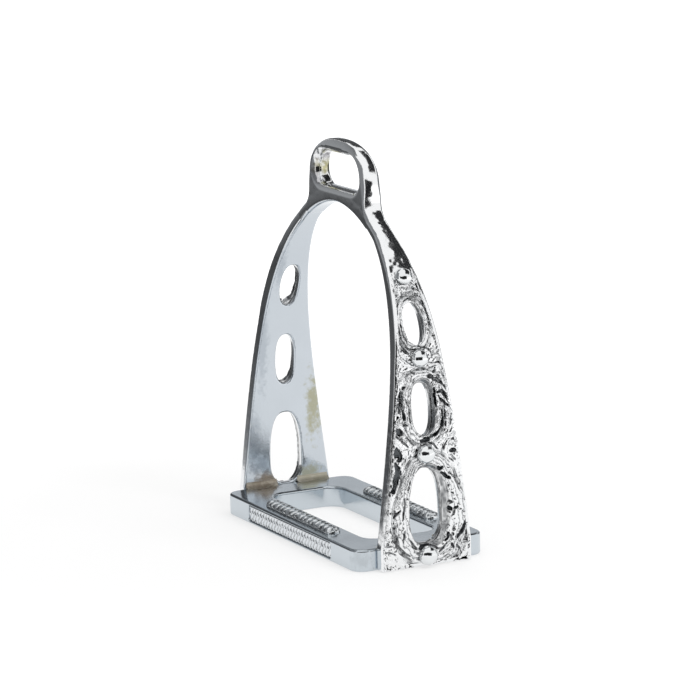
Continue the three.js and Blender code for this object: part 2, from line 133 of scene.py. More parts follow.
# Studs: height above the tread and radius
STUDS = [(-4.1, 4.1), (38, 4), (76.6, 3.7), (108.2, 3.7)]
DOME_RISE = 0.88
DOME_SUNK = 1.6
DOME_BRIM = 0.1
DOME_SIDES = 64
DOME_STEPS = 18

# Grips, friezes, braze
GRIP_LENGTH = 60
GRIP_WIDTH = 7.2
GRIP_HEIGHT = 2.5
GRIP_SUNK = 0.8
GRIP_SQUARE = 2.4
GRIP_PLACE = (TREAD_DEPTH + WINDOW_DEPTH) / 4
RIB_PITCH = 3.6
RIB_RISE = 0.8
RIB_VALLEY = 0.55
RIB_BEND = 0.3
FRIEZE_LENGTH = 76
FRIEZE_HEIGHT = TREAD_HEIGHT - 3
FRIEZE_DEPTH = 1.3
FRIEZE_FLOOR = TREAD_DEPTH / 2 - FRIEZE_DEPTH
FRIEZE_CORNER = 0.9
FRIEZE_GROUND = 0.72
RECESS_EDGE = 0.3
BRAID_PITCH = 2.6
BRAID_ROW = 3.4
BRAID_SLANT = 1.5
BRAID_RISE = 0.36
BRAZE_TOE = 3.6
BRAZE_RISE = 2.6
BRAZE_INNER = 4.6
BRAZE_OUTER = ARM_FOOT_WIDTH / 2 - ARM_ROUND
BRAZE_ROUND = 0.8

CROWN = TREAD_HEIGHT + ARCH_RISE
SLOT_FOOT = CROWN + ARM_THICKNESS
SLOT_TOP = SLOT_FOOT + SLOT_HEIGHT
EYE_TOP = SLOT_TOP + EYE_TOP_BAR
EYE_HALF = SLOT_WIDTH / 2 + EYE_SIDE_BAR
POCKET_FLOOR = ARM_THICKNESS - POCKET_DEPTH


# Distance fields: negative inside the metal

def rising(value, start, end):
    """Goes smoothly from 0 at one value to 1 at another."""
    share = np.clip((value - start) / (end - start), 0, 1)
    return share * share * (3 - 2 * share)


def fading(value, start, end):
    """Goes smoothly from 1 at one value to 0 at another."""
    return rising(-value, -end, -start)


def bulge(place):
    """A half circle: 1 in the middle at 0, and 0 at -1 and 1 and beyond."""
    return np.sqrt(np.clip(1 - place ** 2, 0, 1))


def both(a, b, radius=0.0):
    """What lies in both bodies, with the edge between them rounded."""
    return np.minimum(-radius, np.maximum(a, b)) + np.hypot(
        np.maximum(radius + a, 0), np.maximum(radius + b, 0))


def either(a, b, radius=0.0):
    """What lies in one or the other, with a fillet between them."""
    return np.maximum(radius, np.minimum(a, b)) - np.hypot(
        np.maximum(radius - a, 0), np.maximum(radius - b, 0))


def slab(value, middle, half):
    return np.abs(value - middle) - half


def rectangle(u, v, width, depth, corner):
    return both(slab(u, 0, width / 2), slab(v, 0, depth / 2), corner)


def oval(u, v, half, reach, square):
    """Distance outward from a squarish oval round the origin."""
    u = np.maximum(np.abs(u), 1e-3)
    v = np.maximum(np.abs(v), 1e-3)
    size = ((u / half) ** square + (v / reach) ** square) ** (1 / square)
    slope = size ** (1 - square) * np.hypot(
        u ** (square - 1) / half ** square, v ** (square - 1) / reach ** square)
    return (size - 1) / slope


def egg(hole, y, z, grow=0.0):
    """Distance outward from an egg-shaped outline, seen from the arm's side."""
    rise = z - TREAD_HEIGHT - hole["height"]
    reach = np.where(rise > 0, hole["up"], hole["down"]) + grow
    return oval(y - hole.get("aside", 0), rise, hole["half"] + grow, reach, hole["square"])


NOISE_SEED = 5
NOISE_CELLS = 24
NOISE_START = 100
LATTICE = np.random.default_rng(NOISE_SEED).random((NOISE_CELLS,) * 3) * 2 - 1


def noise(x, y, z, size):
    """Smooth noise from -1 to 1 with lumps of that size. Plain numbers may stand for z."""
    total = 0
    places = [np.asarray(p) / size + NOISE_START for p in (x, y, z)]
    cells = [np.floor(p).astype(int) for p in places]
    parts = [p - c for p, c in zip(places, cells)]
    parts = [t * t * (3 - 2 * t) for t in parts]
    for corner in np.ndindex(2, 2, 2):
        weight = 1
        for t, up in zip(parts, corner):
            weight = weight * (t if up else 1 - t)
        i, j, k = ((c + up) % NOISE_CELLS for c, up in zip(cells, corner))
        total = total + weight * LATTICE[i, j, k]
    return total


def lumps(x, y, z, layers):
    """Noise of several sizes on one another, from each layer's rise and size."""
    return sum(rise * noise(x, y, z, size) for rise, size in layers)


def between_cells(u, v, *tables):
    """The values of tables of one size at places between their cells."""
    u = np.clip(u, 0, tables[0].shape[0] - 1.001)
    v = np.clip(v, 0, tables[0].shape[1] - 1.001)
    i, j = u.astype(int), v.astype(int)
    s, t = u - i, v - j
    found = []
    for table in tables:
        low = table[i, j] * (1 - s) + table[i + 1, j] * s
        high = table[i, j + 1] * (1 - s) + table[i + 1, j + 1] * s
        found.append(low * (1 - t) + high * t)
    return found


# The arch's inner curve

ARCH_STEP = 0.4
ARCH_FLOOR = -8
ARCH_MARGIN = 16
ARCH_POINTS = 500


def arch_line():
    """Even places along the right half of the arch's inner curve."""
    turn = np.linspace(0, math.pi / 2, 20000)
    x = ARCH_FOOT * np.cos(turn) ** (2 / ARCH_SHOULDER)
    z = TREAD_HEIGHT + ARCH_RISE * np.sin(turn) ** (2 / ARCH_FULLNESS)
    x = np.concatenate([[ARCH_FOOT], x])
    z = np.concatenate([[ARCH_FLOOR], z])
    run = np.concatenate([[0], np.cumsum(np.hypot(np.diff(x), np.diff(z)))])
    even = np.linspace(0, run[-1], ARCH_POINTS)
    return np.interp(even, run, x), np.interp(even, run, z)


def arch_tables():
    line_x, line_z = arch_line()
    grid_x = np.arange(0, ARCH_FOOT + ARCH_MARGIN, ARCH_STEP)
    grid_z = np.arange(ARCH_FLOOR, EYE_TOP - ARCH_FLOOR, ARCH_STEP)
    start = np.stack([line_x[:-1], line_z[:-1]], -1)
    along = np.stack([np.diff(line_x), np.diff(line_z)], -1)
    length = np.hypot(along[:, 0], along[:, 1])
    along /= length[:, None]
    depth = np.empty((len(grid_x), len(grid_z)))
    height = np.empty_like(depth)
    for row, x in enumerate(grid_x):
        points = np.stack([np.full(len(grid_z), x), grid_z], -1)
        offset = points[:, None] - start[None]
        t = np.clip((offset * along).sum(-1), 0, length)
        foot = start + along * t[..., None]
        gap = np.hypot(*np.moveaxis(points[:, None] - foot, -1, 0))
        best = gap.argmin(1)
        pick = np.arange(len(grid_z)), best
        side = along[best, 1] * offset[pick][:, 0] - along[best, 0] * offset[pick][:, 1]
        depth[row] = np.where(side > 0, 1, -1) * gap[pick]
        height[row] = foot[pick][:, 1]
    return depth, height


ARCH_DEPTH, ARCH_HEIGHT = arch_tables()


def arch(x, z):
    """How far a place lies outward of the curve, and how high the curve's nearest point is."""
    return between_cells(
        np.abs(x) / ARCH_STEP, (z - ARCH_FLOOR) / ARCH_STEP, ARCH_DEPTH, ARCH_HEIGHT)


def arm_half(z):
    """Half the arm's width at a height."""
    rise = np.clip((z - TREAD_HEIGHT) / ARM_TAPER_HEIGHT, 0, 1)
    width = ARM_NECK_WIDTH + (ARM_FOOT_WIDTH - ARM_NECK_WIDTH) * (1 - rise) ** ARM_TAPER_POWER
    return width / 2


def arm_outline(y, z, inset):
    """Distance outward from the arm's outline, drawn in by an inset, seen from its side."""
    low = FOOT_LIFT + inset
    high = TREAD_HEIGHT + POCKET_TOP + RIM - inset
    upright = slab(z, (low + high) / 2, (high - low) / 2)
    return both(np.abs(y) - arm_half(z) + inset, upright, POCKET_ROUND)


# Meshes from fields

BLOCK = 4
BATCH = 400000


def sampled(field, low, high, cell, slack):
    """Field values on a grid: exact near the surface, and coarse away from it."""
    blocks = np.ceil((high - low) / (BLOCK * cell)).astype(int) + 1
    middles = [low[axis] + (np.arange(blocks[axis]) + 0.5) * BLOCK * cell for axis in range(3)]
    coarse = field(*(g.ravel() for g in np.meshgrid(*middles, indexing="ij"))).reshape(blocks)
    near = np.abs(coarse) < BLOCK * cell * 1.15 + slack
    values, exact = coarse, near
    for axis in range(3):
        values = values.repeat(BLOCK, axis)
        exact = exact.repeat(BLOCK, axis)
    places = np.stack(np.nonzero(exact), -1)
    found = np.empty(len(places))
    for part in np.array_split(np.arange(len(places)), max(1, len(places) // BATCH)):
        found[part] = field(*(low + places[part] * cell).T)
    values[tuple(places.T)] = found
    return values


def net(values, low, cell):
    """Points and faces of the surface where the sampled field is zero."""
    inside = values < 0
    corners = list(np.ndindex(2, 2, 2))
    size = np.array(values.shape) - 1

    def shifted(array, corner):
        return array[tuple(slice(c, c + n) for c, n in zip(corner, size))]

    count = sum(shifted(inside, corner).astype(np.int8) for corner in corners)
    cells = np.stack(np.nonzero((count > 0) & (count < 8)), -1)
    number = np.full(size, -1, np.int64)
    number[tuple(cells.T)] = np.arange(len(cells))
    total = np.zeros((len(cells), 3))
    crossings = np.zeros(len(cells))
    for corner in corners:
        for axis in range(3):
            if corner[axis]:
                continue
            other = np.array(corner)
            other[axis] = 1
            a = values[tuple((cells + corner).T)]
            b = values[tuple((cells + other).T)]
            crossed = (a < 0) != (b < 0)
            share = np.where(crossed, a / np.where(crossed, a - b, 1), 0)
            total += crossed[:, None] * (np.array(corner) + share[:, None] * (other - corner))
            crossings += crossed
    points = low + (cells + total / crossings[:, None]) * cell
    faces = []
    for axis in range(3):
        u, v = (axis + 1) % 3, (axis + 2) % 3
        first = np.moveaxis(inside, axis, 0)[:-1]
        second = np.moveaxis(inside, axis, 0)[1:]
        for flipped, crossed in ((False, first & ~second), (True, ~first & second)):
            at = np.stack(np.nonzero(np.moveaxis(crossed, 0, axis)), -1)
            ring = []
            for du, dv in ((1, 1), (0, 1), (0, 0), (1, 0)):
                place = at.copy()
                place[:, u] -= du
                place[:, v] -= dv
                ring.append(number[tuple(place.T)])
            face = np.stack(ring, -1)
            faces.append(face[:, ::-1] if flipped else face)
    return points, np.concatenate(faces)


def slope_of(field, points, step=0.02):
    """How steeply a field rises along each axis."""
    slope = np.empty_like(points)
    for axis in range(3):
        shift = np.zeros(3)
        shift[axis] = step
        slope[:, axis] = field(*(points + shift).T) - field(*(points - shift).T)
    return slope / (2 * step)


def settled(field, points, cell, rounds=2):
    """Moves points onto the surface, each by less than half a cell."""
    for _ in range(rounds):
        slope = slope_of(field, points)
        steep = np.maximum((slope ** 2).sum(1), 0.2)
        move = -slope * (field(*points.T) / steep)[:, None]
        far = np.linalg.norm(move, axis=1)
        points = points + move * np.minimum(1, 0.5 * cell / np.maximum(far, 1e-9))[:, None]
    return points


def skin(field, low, high, cell, slack=0.0, rounds=2):
    """Points and faces of a field's surface inside a box."""
    low = np.array(low, float) - 2 * cell
    high = np.array(high, float) + 2 * cell
    points, faces = net(sampled(field, low, high, cell, slack), low, cell)
    return settled(field, points, cell, rounds), faces


def placed(name, data):
    """A new object in the scene."""
    made = bpy.data.objects.new(name, data)
    bpy.context.scene.collection.objects.link(made)
    return made


def piece(name, points, faces, material, replaces, normals=None, marks=None):
    """A smooth mesh object in the part's frame that rides on its one body."""
    mesh = bpy.data.meshes.new(name)
    mesh.vertices.add(len(points))
    mesh.vertices.foreach_set("co", (points * MM).astype(np.float32).ravel())
    mesh.loops.add(faces.size)
    mesh.loops.foreach_set("vertex_index", faces.astype(np.int32).ravel())
    mesh.polygons.add(len(faces))
    starts = np.arange(0, faces.size, faces.shape[1], dtype=np.int32)
    mesh.polygons.foreach_set("loop_start", starts)
    mesh.polygons.foreach_set("use_smooth", np.ones(len(faces), bool))
    mesh.update(calc_edges=True)
    if normals is not None:
        mesh.normals_split_custom_set_from_vertices(normals)
    for mark, values in (marks or {}).items():
        layer = mesh.attributes.new(mark, "FLOAT", "POINT")
        layer.data.foreach_set("value", values.astype(np.float32))
    mesh.materials.append(material)
    made = placed(name, mesh)
    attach(made, "root")
    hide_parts(replaces)


def normals_of(field, points):
    slope = slope_of(field, points)
    return slope / np.maximum(np.linalg.norm(slope, axis=1, keepdims=True), 1e-9)


# Bow: arch, arms and strap eye

def eye_outline(x, z):
    """Outline of the strap eye in the plane of the arch: an oval, a little higher on the left."""
    rise = z - EYE_MIDDLE + EYE_LEAN * x / EYE_HALF
    reach = np.where(rise > 0, EYE_TOP - EYE_MIDDLE, EYE_FALL)
    return oval(x, rise, EYE_HALF, reach, EYE_SQUARE)


def slot_outline(x, z):
    upper = both(slab(x, 0, SLOT_WIDTH / 2), z - SLOT_TOP, SLOT_TOP_ROUND)
    return both(upper, SLOT_FOOT - z, SLOT_FOOT_ROUND)


def bow_field(x, y, z):
    depth, height = arch(x, z)
    middle = ARM_THICKNESS / 2
    upper = rising(height, *ROUND_BAND)
    half = arm_half(height)
    eye = np.maximum(eye_outline(x, z), middle - depth)
    sunk = RIM_SUNK * fading(z, *SUNK_BAND)
    plan = either(np.maximum(-depth, depth - ARM_THICKNESS + sunk), eye, NECK_FILLET)
    plan = np.maximum(plan, -slot_outline(x, z))
    plan = plan + OUTER_CROWN * upper * y * y / half * rising(depth, middle - 1, middle + 1)
    crown = SIDE_CROWN * np.clip((depth - middle) / middle, -1, 1) ** 2
    radius = ARM_ROUND + (NECK_ROUND - ARM_ROUND) * upper
    radius = radius + (EYE_ROUND - NECK_ROUND) * rising(z, *EYE_ROUND_BAND)
    body = both(plan, np.abs(y) - half + crown, radius)
    body = both(body, FOOT_LIFT - z, ARM_ROUND / 2)
    pocket = both(arm_outline(y, z, RIM), POCKET_FLOOR - depth)
    body = both(body, -pocket, POCKET_EDGE)
    for hole in HOLES:
        body = both(body, -egg(hole, y, z), HOLE_ROUND)
    on_eye = rising(z, *EYE_HAMMER_BAND)
    hammered = rising(z, *HAMMER_BAND) * rising(depth, middle, ARM_THICKNESS)
    hammered = hammered * (1 + 0.7 * fading(z, *HARD_HAMMER_BAND) - 0.9 * on_eye)
    hammered = hammered + 0.45 * on_eye * rising(eye, -3, -1)
    return body + hammered * lumps(x, y, z, HAMMER_DENTS)


def shaded_walls(points):
    """Painted shade on the bow: how dark the walls of the pierced holes are made."""
    x, y, z = points.T
    depth, _ = arch(x, z)
    within = rising(depth, 1.4, 2.8) * fading(depth, 4.6, 5.2)
    near = np.min([np.abs(egg(hole, y, z)) for hole in HOLES], axis=0)
    return within * fading(near, 0.5, 0.9) * (0.7 + 0.3 * noise(x, y, z, 1.2))


def mirror_bright(points):
    """Where the bow is mirror bright: everywhere but on the inner faces of the arch."""
    depth, _ = arch(points[:, 0], points[:, 2])
    return rising(depth, 0.3, 1.2)


# Tread, its grips and its friezes

def frieze_panel(x, z, gap=0.0):
    """Outline of a frieze on the tread's long face, with a gap round it."""
    length, height = FRIEZE_LENGTH + 2 * gap, FRIEZE_HEIGHT + 2 * gap
    return rectangle(x, z - TREAD_HEIGHT / 2, length, height, FRIEZE_CORNER + gap)


def tread_field(x, y, z):
    plan = rectangle(x, y, TREAD_LENGTH, TREAD_DEPTH, TREAD_CORNER)
    height = slab(z, TREAD_HEIGHT / 2, TREAD_HEIGHT / 2)
    body = both(plan, height, TREAD_EDGE)
    body = both(body, -rectangle(x, y, WINDOW_LENGTH, WINDOW_DEPTH, WINDOW_CORNER), TREAD_EDGE)
    recess = both(frieze_panel(x, z, CLEARANCE), FRIEZE_FLOOR - np.abs(y))
    return both(body, -recess, RECESS_EDGE)


def rib_valley(x, y, z):
    """How deep a place lies between two ribs, which bend round the bar."""
    place = x / RIB_PITCH + RIB_BEND * (y / GRIP_WIDTH * 2) ** 2 + 0.12 * noise(x, y, z, 2.5)
    return np.exp(-(((place - np.round(place)) * RIB_PITCH / RIB_VALLEY) ** 2))


def grip_field(x, y, z):
    """One grip bar with its middle over the origin: half round, with worn, curved ribs across."""
    along = np.maximum(np.abs(x) - (GRIP_LENGTH - GRIP_WIDTH) / 2, 0)
    across = np.hypot(y, along)
    half = GRIP_WIDTH / 2
    rise = np.maximum(z - TREAD_HEIGHT, 0)
    size = (across / half) ** GRIP_SQUARE + (rise / GRIP_HEIGHT) ** GRIP_SQUARE
    size = size ** (1 / GRIP_SQUARE)
    carved = RIB_RISE * rib_valley(x, y, z) + lumps(x, y, z, GRIP_WEAR)
    dome = (size - 1) * GRIP_HEIGHT + carved * rising(rise, 0.5, 1.2)
    return both(dome, TREAD_HEIGHT - GRIP_SUNK - z)


def grip_shade(points):
    """Painted shade on a grip: darker between its ribs, and in random patches."""
    x, y, z = points.T
    patches = fading(noise(x, y, z, 1.1), -0.7, 0.1)
    above = rising(z, TREAD_HEIGHT + 0.6, TREAD_HEIGHT + 1.2)
    return above * np.maximum(0.5 * rib_valley(x, y, z), 0.3 * patches)


def frieze_height(x, z):
    """A worn braid of fine slanted strokes, from the ground at 0 to their tops at 1."""
    bend = BRAID_SLANT * np.abs((z - TREAD_HEIGHT / 2) / BRAID_ROW % 1 * 2 - 1)
    line = np.cos(2 * math.pi * (x + bend + 0.3 * noise(x, z, 0, 1.8)) / BRAID_PITCH)
    kept = 0.75 + 0.25 * noise(x, z, 3, 2)
    return 0.5 + 0.45 * line * kept + 0.1 * noise(x, z, 0, 0.8)


def frieze_field(x, y, z):
    """The rear frieze strip."""
    relief = slab(y, FRIEZE_FLOOR, FRIEZE_GROUND) - BRAID_RISE * frieze_height(x, z)
    return both(frieze_panel(x, z), relief)


def frieze_shade(points):
    """Painted shade on a frieze, between its strokes."""
    return 0.4 * fading(frieze_height(points[:, 0], points[:, 2]), 0.1, 0.5)


# The ornament on the arms: tables of its height over the arch's inner curve and of the painted
# shade in its hollows

RELIEF_STEP = 0.15
RELIEF_HALF = 22
RELIEF_TOP = 132
RELIEF_LEVEL = 5.0
RELIEF_FLOOR = 3.3
RELIEF_BLUR = 5
CURVE_STEPS = 7
FRAYED = 0.4
LEAST_GRAIN = 0.1
ADDED_GRAIN = 0.3
HATCH_PITCH = 1.5
HATCH_RISE = 0.1
STRAND_PITCH = 1.3
STRAND_FOOT = 0.5
GROOVE_HALF = 0.65
GROOVE_ASIDE = 0.2

# Ridges of leaves and scrolls: half width, rise, then the places they run through, across and up
RIDGES = [
    (1.4, 0.8, (-14.2, 55), (-11, 52.4), (-9.2, 49.4), (-8.8, 46.4), (-9.8, 43.6)),
    (1.4, 0.8, (13.6, 54), (10.8, 51.4), (9, 48.6), (9.2, 45.6), (11.5, 42)),
    (1.0, 0.8, (5.4, 78.6), (8.6, 78.2), (11, 75)),
    (1.0, 0.8, (5.4, 74.8), (8.6, 74), (10.4, 72.2), (11.4, 69.6)),
    (0.9, 0.8, (6.4, 69.8), (8.8, 69.6), (10.4, 67.4), (11.8, 64)),
    (0.8, 0.8, (7, 66.4), (9.3, 64.6), (9.2, 60), (8.6, 56.8), (6.8, 54)),
    (0.9, 0.7, (11.3, 63), (11.2, 59), (10.4, 55.6), (8, 52.4)),
    (1.5, 0.6, (-11.4, 82.4), (-9, 78.8), (-7.2, 75.6), (-7.2, 71.6)),
    (0.8, 0.7, (-9.2, 70.4), (-8.2, 67), (-7.4, 62), (-7.4, 58)),
    (0.8, 0.7, (-13, 60.6), (-10.6, 59.2), (-8.6, 57), (-6.6, 53.4)),
    (0.7, 0.6, (-13.4, 64.6), (-11, 64), (-9.9, 61), (-11.4, 60)),
    (0.9, 0.7, (6.6, 87), (8.8, 85.4), (10.4, 82)),
    (0.9, 0.7, (3.8, 83.2), (6.4, 83), (9.4, 80.8), (11.2, 78)),
    (1.0, 0.7, (-3.4, 83), (-6.4, 84), (-9, 87.4)),
    (0.9, 0.6, (-8.4, 96.6), (-7.2, 98), (-6.8, 103), (-6, 108)),
    (0.9, 0.6, (7.6, 95.6), (6.6, 99.4), (5.9, 103), (4.6, 108)),
    (1.0, 0.8, (-13.2, 10.4), (-9.6, 7.6), (-5.6, 5.4)),
    (1.0, 0.8, (-16.4, 8.6), (-12, 5.4), (-7.4, 3)),
    (0.9, 0.8, (4, 5.6), (7.2, 8.4), (10.6, 10.6), (12.6, 13.6)),
    (0.9, 0.8, (9.4, 4), (13, 8.8), (15.4, 10.6), (18.6, 10.8)),
    (0.8, 0.7, (12.6, 3), (15.4, 6.6), (18.4, 7.6)),
]

# Carved lines and hollows, also darkened with painted shade: half width, depth, then their places
LINES = [
    # round the lowest stud and at the foot
    (1.2, 2.0, (-2.9, 8.5), (-0.4, 8.9), (1.8, 8.4)),
    (0.5, 1.2, (2, 8.3), (4.5, 7.2)),
    (0.4, 1.1, (5.3, 5.6), (7.5, 7.3), (9.3, 9)),
    (0.6, 1.5, (8.4, 9.8), (10, 11.2), (9.8, 13)),
    (0.35, 0.9, (10.4, 12.4), (12.2, 10)),
    (0.5, 1.3, (11.3, 8.6), (11.8, 6.8)),
    (0.4, 1.0, (13.2, 7.4), (15, 5.6)),
    (0.8, 1.8, (19, 20.5), (18, 16.8), (16.3, 13.2), (14, 10.4)),
    (0.45, 1.1, (17, 9.6), (19.3, 8.6)),
    (0.4, 0.9, (-15.5, 12.8), (-13, 9.8), (-10.5, 7.2), (-8, 5.4)),
    (0.45, 1.2, (-7.9, 11.8), (-6.4, 9.2), (-5, 7.9)),
    (0.35, 0.8, (-19.8, 8.5), (-17, 8.1), (-14.8, 7)),
    (0.35, 0.8, (-18.2, 10.5), (-16.4, 10.8)),
    (0.35, 0.8, (-16.9, 18), (-15.9, 14.8), (-15, 12)),
    # beside the low ring
    (0.6, 1.6, (10.2, 23.2), (11.4, 22.8)),
    (0.6, 1.6, (13, 22.8), (14.3, 23.2)),
    (0.4, 1.2, (10.6, 26.2), (11.5, 25.6)),
    (0.55, 1.4, (-15, 22.4), (-13.9, 23.9), (-12.3, 24.6)),
    (0.45, 1.1, (-10.8, 21), (-10.2, 25), (-9.8, 29.5)),
    (0.45, 1.0, (-10.9, 11.5), (-10.2, 16)),
    (0.55, 1.6, (5.6, 41), (6.5, 39.8), (8, 40.4)),
    (0.65, 1.8, (7.2, 38), (9, 37), (11, 35.6)),
    (0.35, 0.9, (11, 38.2), (13.5, 35), (15.3, 30.5)),
    (0.5, 1.3, (16.3, 38), (16.5, 36.2)),
    (0.4, 1.1, (10.1, 33.2), (10.5, 32.4)),
    (1.5, 2.2, (-13.1, 50.2), (-12.5, 48), (-12, 45.8)),
    (1.2, 2.0, (-13.3, 43.8), (-12.8, 40.5), (-14, 36.5), (-15.2, 33)),
    (0.9, 2.0, (-11.3, 40.6), (-12.6, 38)),
    # round the second stud
    (0.8, 1.8, (11.4, 46.8), (12.6, 47), (13.4, 46.9)),
    (0.3, 0.8, (11, 44), (12.3, 42.4)),
    (0.3, 0.8, (12, 45), (13.4, 43)),
    (0.5, 1.0, (12.5, 52), (14, 51.6)),
    (1.0, 1.9, (-1.7, 52.6), (0.4, 52.3), (2, 52.8)),
    (0.5, 1.3, (2, 53.2), (4.5, 54.2), (6.3, 55.8)),
    (0.4, 1.1, (2, 51.4), (4.2, 50.4), (5.6, 48.4)),
    (0.5, 1.4, (-3.5, 49.4), (-3.1, 48.2)),
    (0.35, 0.9, (-7.6, 46.2), (-6.6, 46.8)),
    (0.4, 1.0, (-13, 55.6), (-10.4, 53.6), (-8, 50.6)),
    (0.35, 1.0, (-8, 54.4), (-6.4, 52.2), (-5.2, 51)),
    # beside the middle ring
    (1.25, 2.3, (-9.9, 72.6), (-10.4, 69), (-10.9, 65.6)),
    (0.45, 1.5, (-9, 74), (-8, 74.9)),
    (0.65, 1.9, (-8.8, 64.9), (-8.7, 61.9)),
    (0.6, 1.6, (-12.8, 62.8), (-11.6, 63)),
    (1.0, 2.0, (-12.3, 58.2), (-11.3, 57.2), (-10.3, 56.3)),
    (0.45, 1.2, (-9, 59.5), (-7.9, 59.6)),
    (0.3, 0.8, (-7.9, 70.3), (-6.6, 67), (-6.3, 62), (-6, 58)),
    (0.6, 2.0, (8.5, 64.2), (8.3, 60.5), (7.6, 57.2), (5, 53.6)),
    (0.4, 1.3, (10, 64), (9.9, 60)),
    (0.4, 1.4, (9.9, 58.8), (10, 57.2)),
    (0.75, 1.9, (5.6, 76.6), (7.3, 76.4), (9, 74.8)),
    (0.45, 1.5, (9, 74.8), (10.6, 73), (11.9, 71.6), (11.8, 70)),
    (0.65, 1.8, (6.8, 71.4), (8.6, 71.5), (10, 70.4), (11, 68.6)),
    (0.5, 1.7, (11, 68.6), (12.1, 66.2)),
    (0.4, 1.4, (8.6, 68.6), (10.2, 66.6), (11.8, 65)),
    (0.4, 1.2, (7.4, 69.8), (8.8, 67.6)),
    (0.45, 1.5, (6, 73.2), (5.6, 71), (5.9, 68), (6.1, 65.6)),
    (0.8, 1.6, (3.4, 78.4), (5, 77.6)),
    (0.4, 1.2, (5.4, 79.6), (6.9, 80)),
    (0.4, 1.0, (12.4, 61), (12.2, 58)),
    (0.4, 1.1, (13.5, 57.4), (13.6, 56.6)),
    # round the third stud
    (0.6, 1.9, (-9.1, 94.6), (-7.7, 92.6), (-6.8, 90.6)),
    (0.55, 1.7, (-7.6, 89.2), (-6.6, 89.9), (-5.6, 88.6), (-4.5, 87.9)),
    (0.4, 1.2, (-6.4, 99.8), (-6, 98.4)),
    (0.3, 0.7, (-6, 98.4), (-5.4, 94.6), (-4.4, 91)),
    (0.4, 0.6, (-7.2, 104.5), (-8.2, 100)),
    (0.4, 1.3, (-10.2, 85.3), (-9.8, 85.1)),
    (0.35, 1.2, (0, 90.3), (3, 89.7), (5.4, 88), (5.9, 85.4)),
    (0.4, 1.4, (7, 83.5), (9.5, 82.6), (11.2, 80.6)),
    (0.3, 1.0, (4, 81.4), (7, 81.9)),
    (0.4, 1.2, (9.2, 84.8), (10.6, 83.2)),
    (0.5, 0.9, (-1.6, 81.4), (1.8, 81.2)),
    (0.35, 0.9, (-4.4, 80.2), (-2.8, 79.4)),
    (0.4, 0.5, (-9.8, 77.6), (-8, 79.8), (-5.4, 80.8)),
    # round the top ring and stud
    (0.35, 1.0, (7.2, 99.2), (8.0, 96.8)),
    (0.55, 1.6, (6.3, 104), (7.0, 101.9)),
    (0.45, 1.4, (5.6, 106), (6.3, 104.4)),
    (0.35, 1.2, (-6.4, 110.6), (-5, 110)),
    (0.4, 0.6, (-5, 110), (-4.1, 114.6)),
    (0.5, 0.6, (-5.4, 108.6), (-6.8, 103.4)),
    (0.35, 1.0, (-2.8, 111.2), (-2.3, 110)),
    (0.6, 1.7, (5.1, 113.8), (5.6, 111.8)),
    (0.45, 1.4, (3.4, 110.4), (4.3, 109.4)),
    (0.4, 1.2, (-4.2, 115.2), (-3.5, 115.8)),
    (0.3, 0.7, (-3, 108.2), (0, 108.8), (2.5, 108)),
    (0.3, 0.7, (-2, 113), (1.5, 112.6), (3, 113.2)),
    (0.3, 0.7, (0, 111.4), (2.6, 110.8)),
]

# Coarse, grainy ground: middle and reach
GRAINY = [
    (-10, 56.5, 5), (10.5, 3.5, 5), (-12, 12, 5), (8.5, 87.5, 3), (0, 110, 4), (11, 77, 2.5),
    (-13, 38, 3), (-9, 62, 3.5), (11, 29, 3), (12, 50, 3), (-17, 14, 4),
]


def curve(places):
    """Close points on a smooth curve through a few places."""
    ends = np.array([places[0], *places, places[-1]], float)
    share = np.linspace(0, 1, CURVE_STEPS)[:, None]
    parts = []
    for a, b, c, d in zip(ends, ends[1:], ends[2:], ends[3:]):
        parts.append(0.5 * (2 * b + (c - a) * share + (2 * a - 5 * b + 4 * c - d) * share ** 2
                            + (3 * b - a - 3 * c + d) * share ** 3))
    return np.concatenate(parts)


def stroke(span, rise, y, z, half, places):
    """Where a stroke lies on the table, and its round section: 0 at the edge, 1 in the middle."""
    line = curve(places)
    low, high = line.min(0) - half - FRAYED, line.max(0) + half + FRAYED
    rows = slice(*np.searchsorted(span, (low[0], high[0])))
    columns = slice(*np.searchsorted(rise, (low[1], high[1])))
    u, v = y[rows, columns], z[rows, columns]
    ahead = np.linspace(0, 1, len(line))
    gap = np.full(u.shape, 9.0)
    for (p, q), (r, s), done in zip(line[:-1], line[1:], ahead):
        length = max((r - p) ** 2 + (s - q) ** 2, 1e-9)
        share = np.clip(((u - p) * (r - p) + (v - q) * (s - q)) / length, 0, 1)
        taper = half * (0.55 + 0.45 * math.sin(math.pi * min(max(done, 0.02), 0.98)))
        gap = np.minimum(gap, np.hypot(u - p - share * (r - p), v - q - share * (s - q)) / taper)
    return (rows, columns), bulge(gap)


def ground(y, z, frayed):
    """The ornament's ground, with lumps, grain and hatching, and the veins in it, which are sunk
    and darkened with painted shade.
    """
    grainy = sum(fading(np.hypot(y - a, z - b) / reach, 0.6, 1) for a, b, reach in GRAINY)
    grainy = np.clip(grainy, 0, 1)
    grain = LEAST_GRAIN + ADDED_GRAIN * grainy
    height = RELIEF_LEVEL + 0.25 * noise(y, z, 0, 2.6) + grain * noise(y, z, 0, 0.8)
    height = height + 0.14 * noise(*frayed, 11, 1.3)
    flow = np.min([np.abs(egg(ring, y, z) - ring["width"]) for ring in RINGS], axis=0)
    flow = flow + 1.8 * noise(y, z, 2, 6) + 0.8 * noise(y, z, 3, 2.2)
    hatched = rising(noise(y, z, 6, 3.4), -0.5, 0.3)
    height = height + HATCH_RISE * hatched * np.cos(2 * math.pi * flow / HATCH_PITCH)
    thread = np.abs(noise(*frayed, 4, 2.1) + 0.5 * noise(*frayed, 7, 1))
    return height, fading(thread, 0.02, 0.16) * grainy


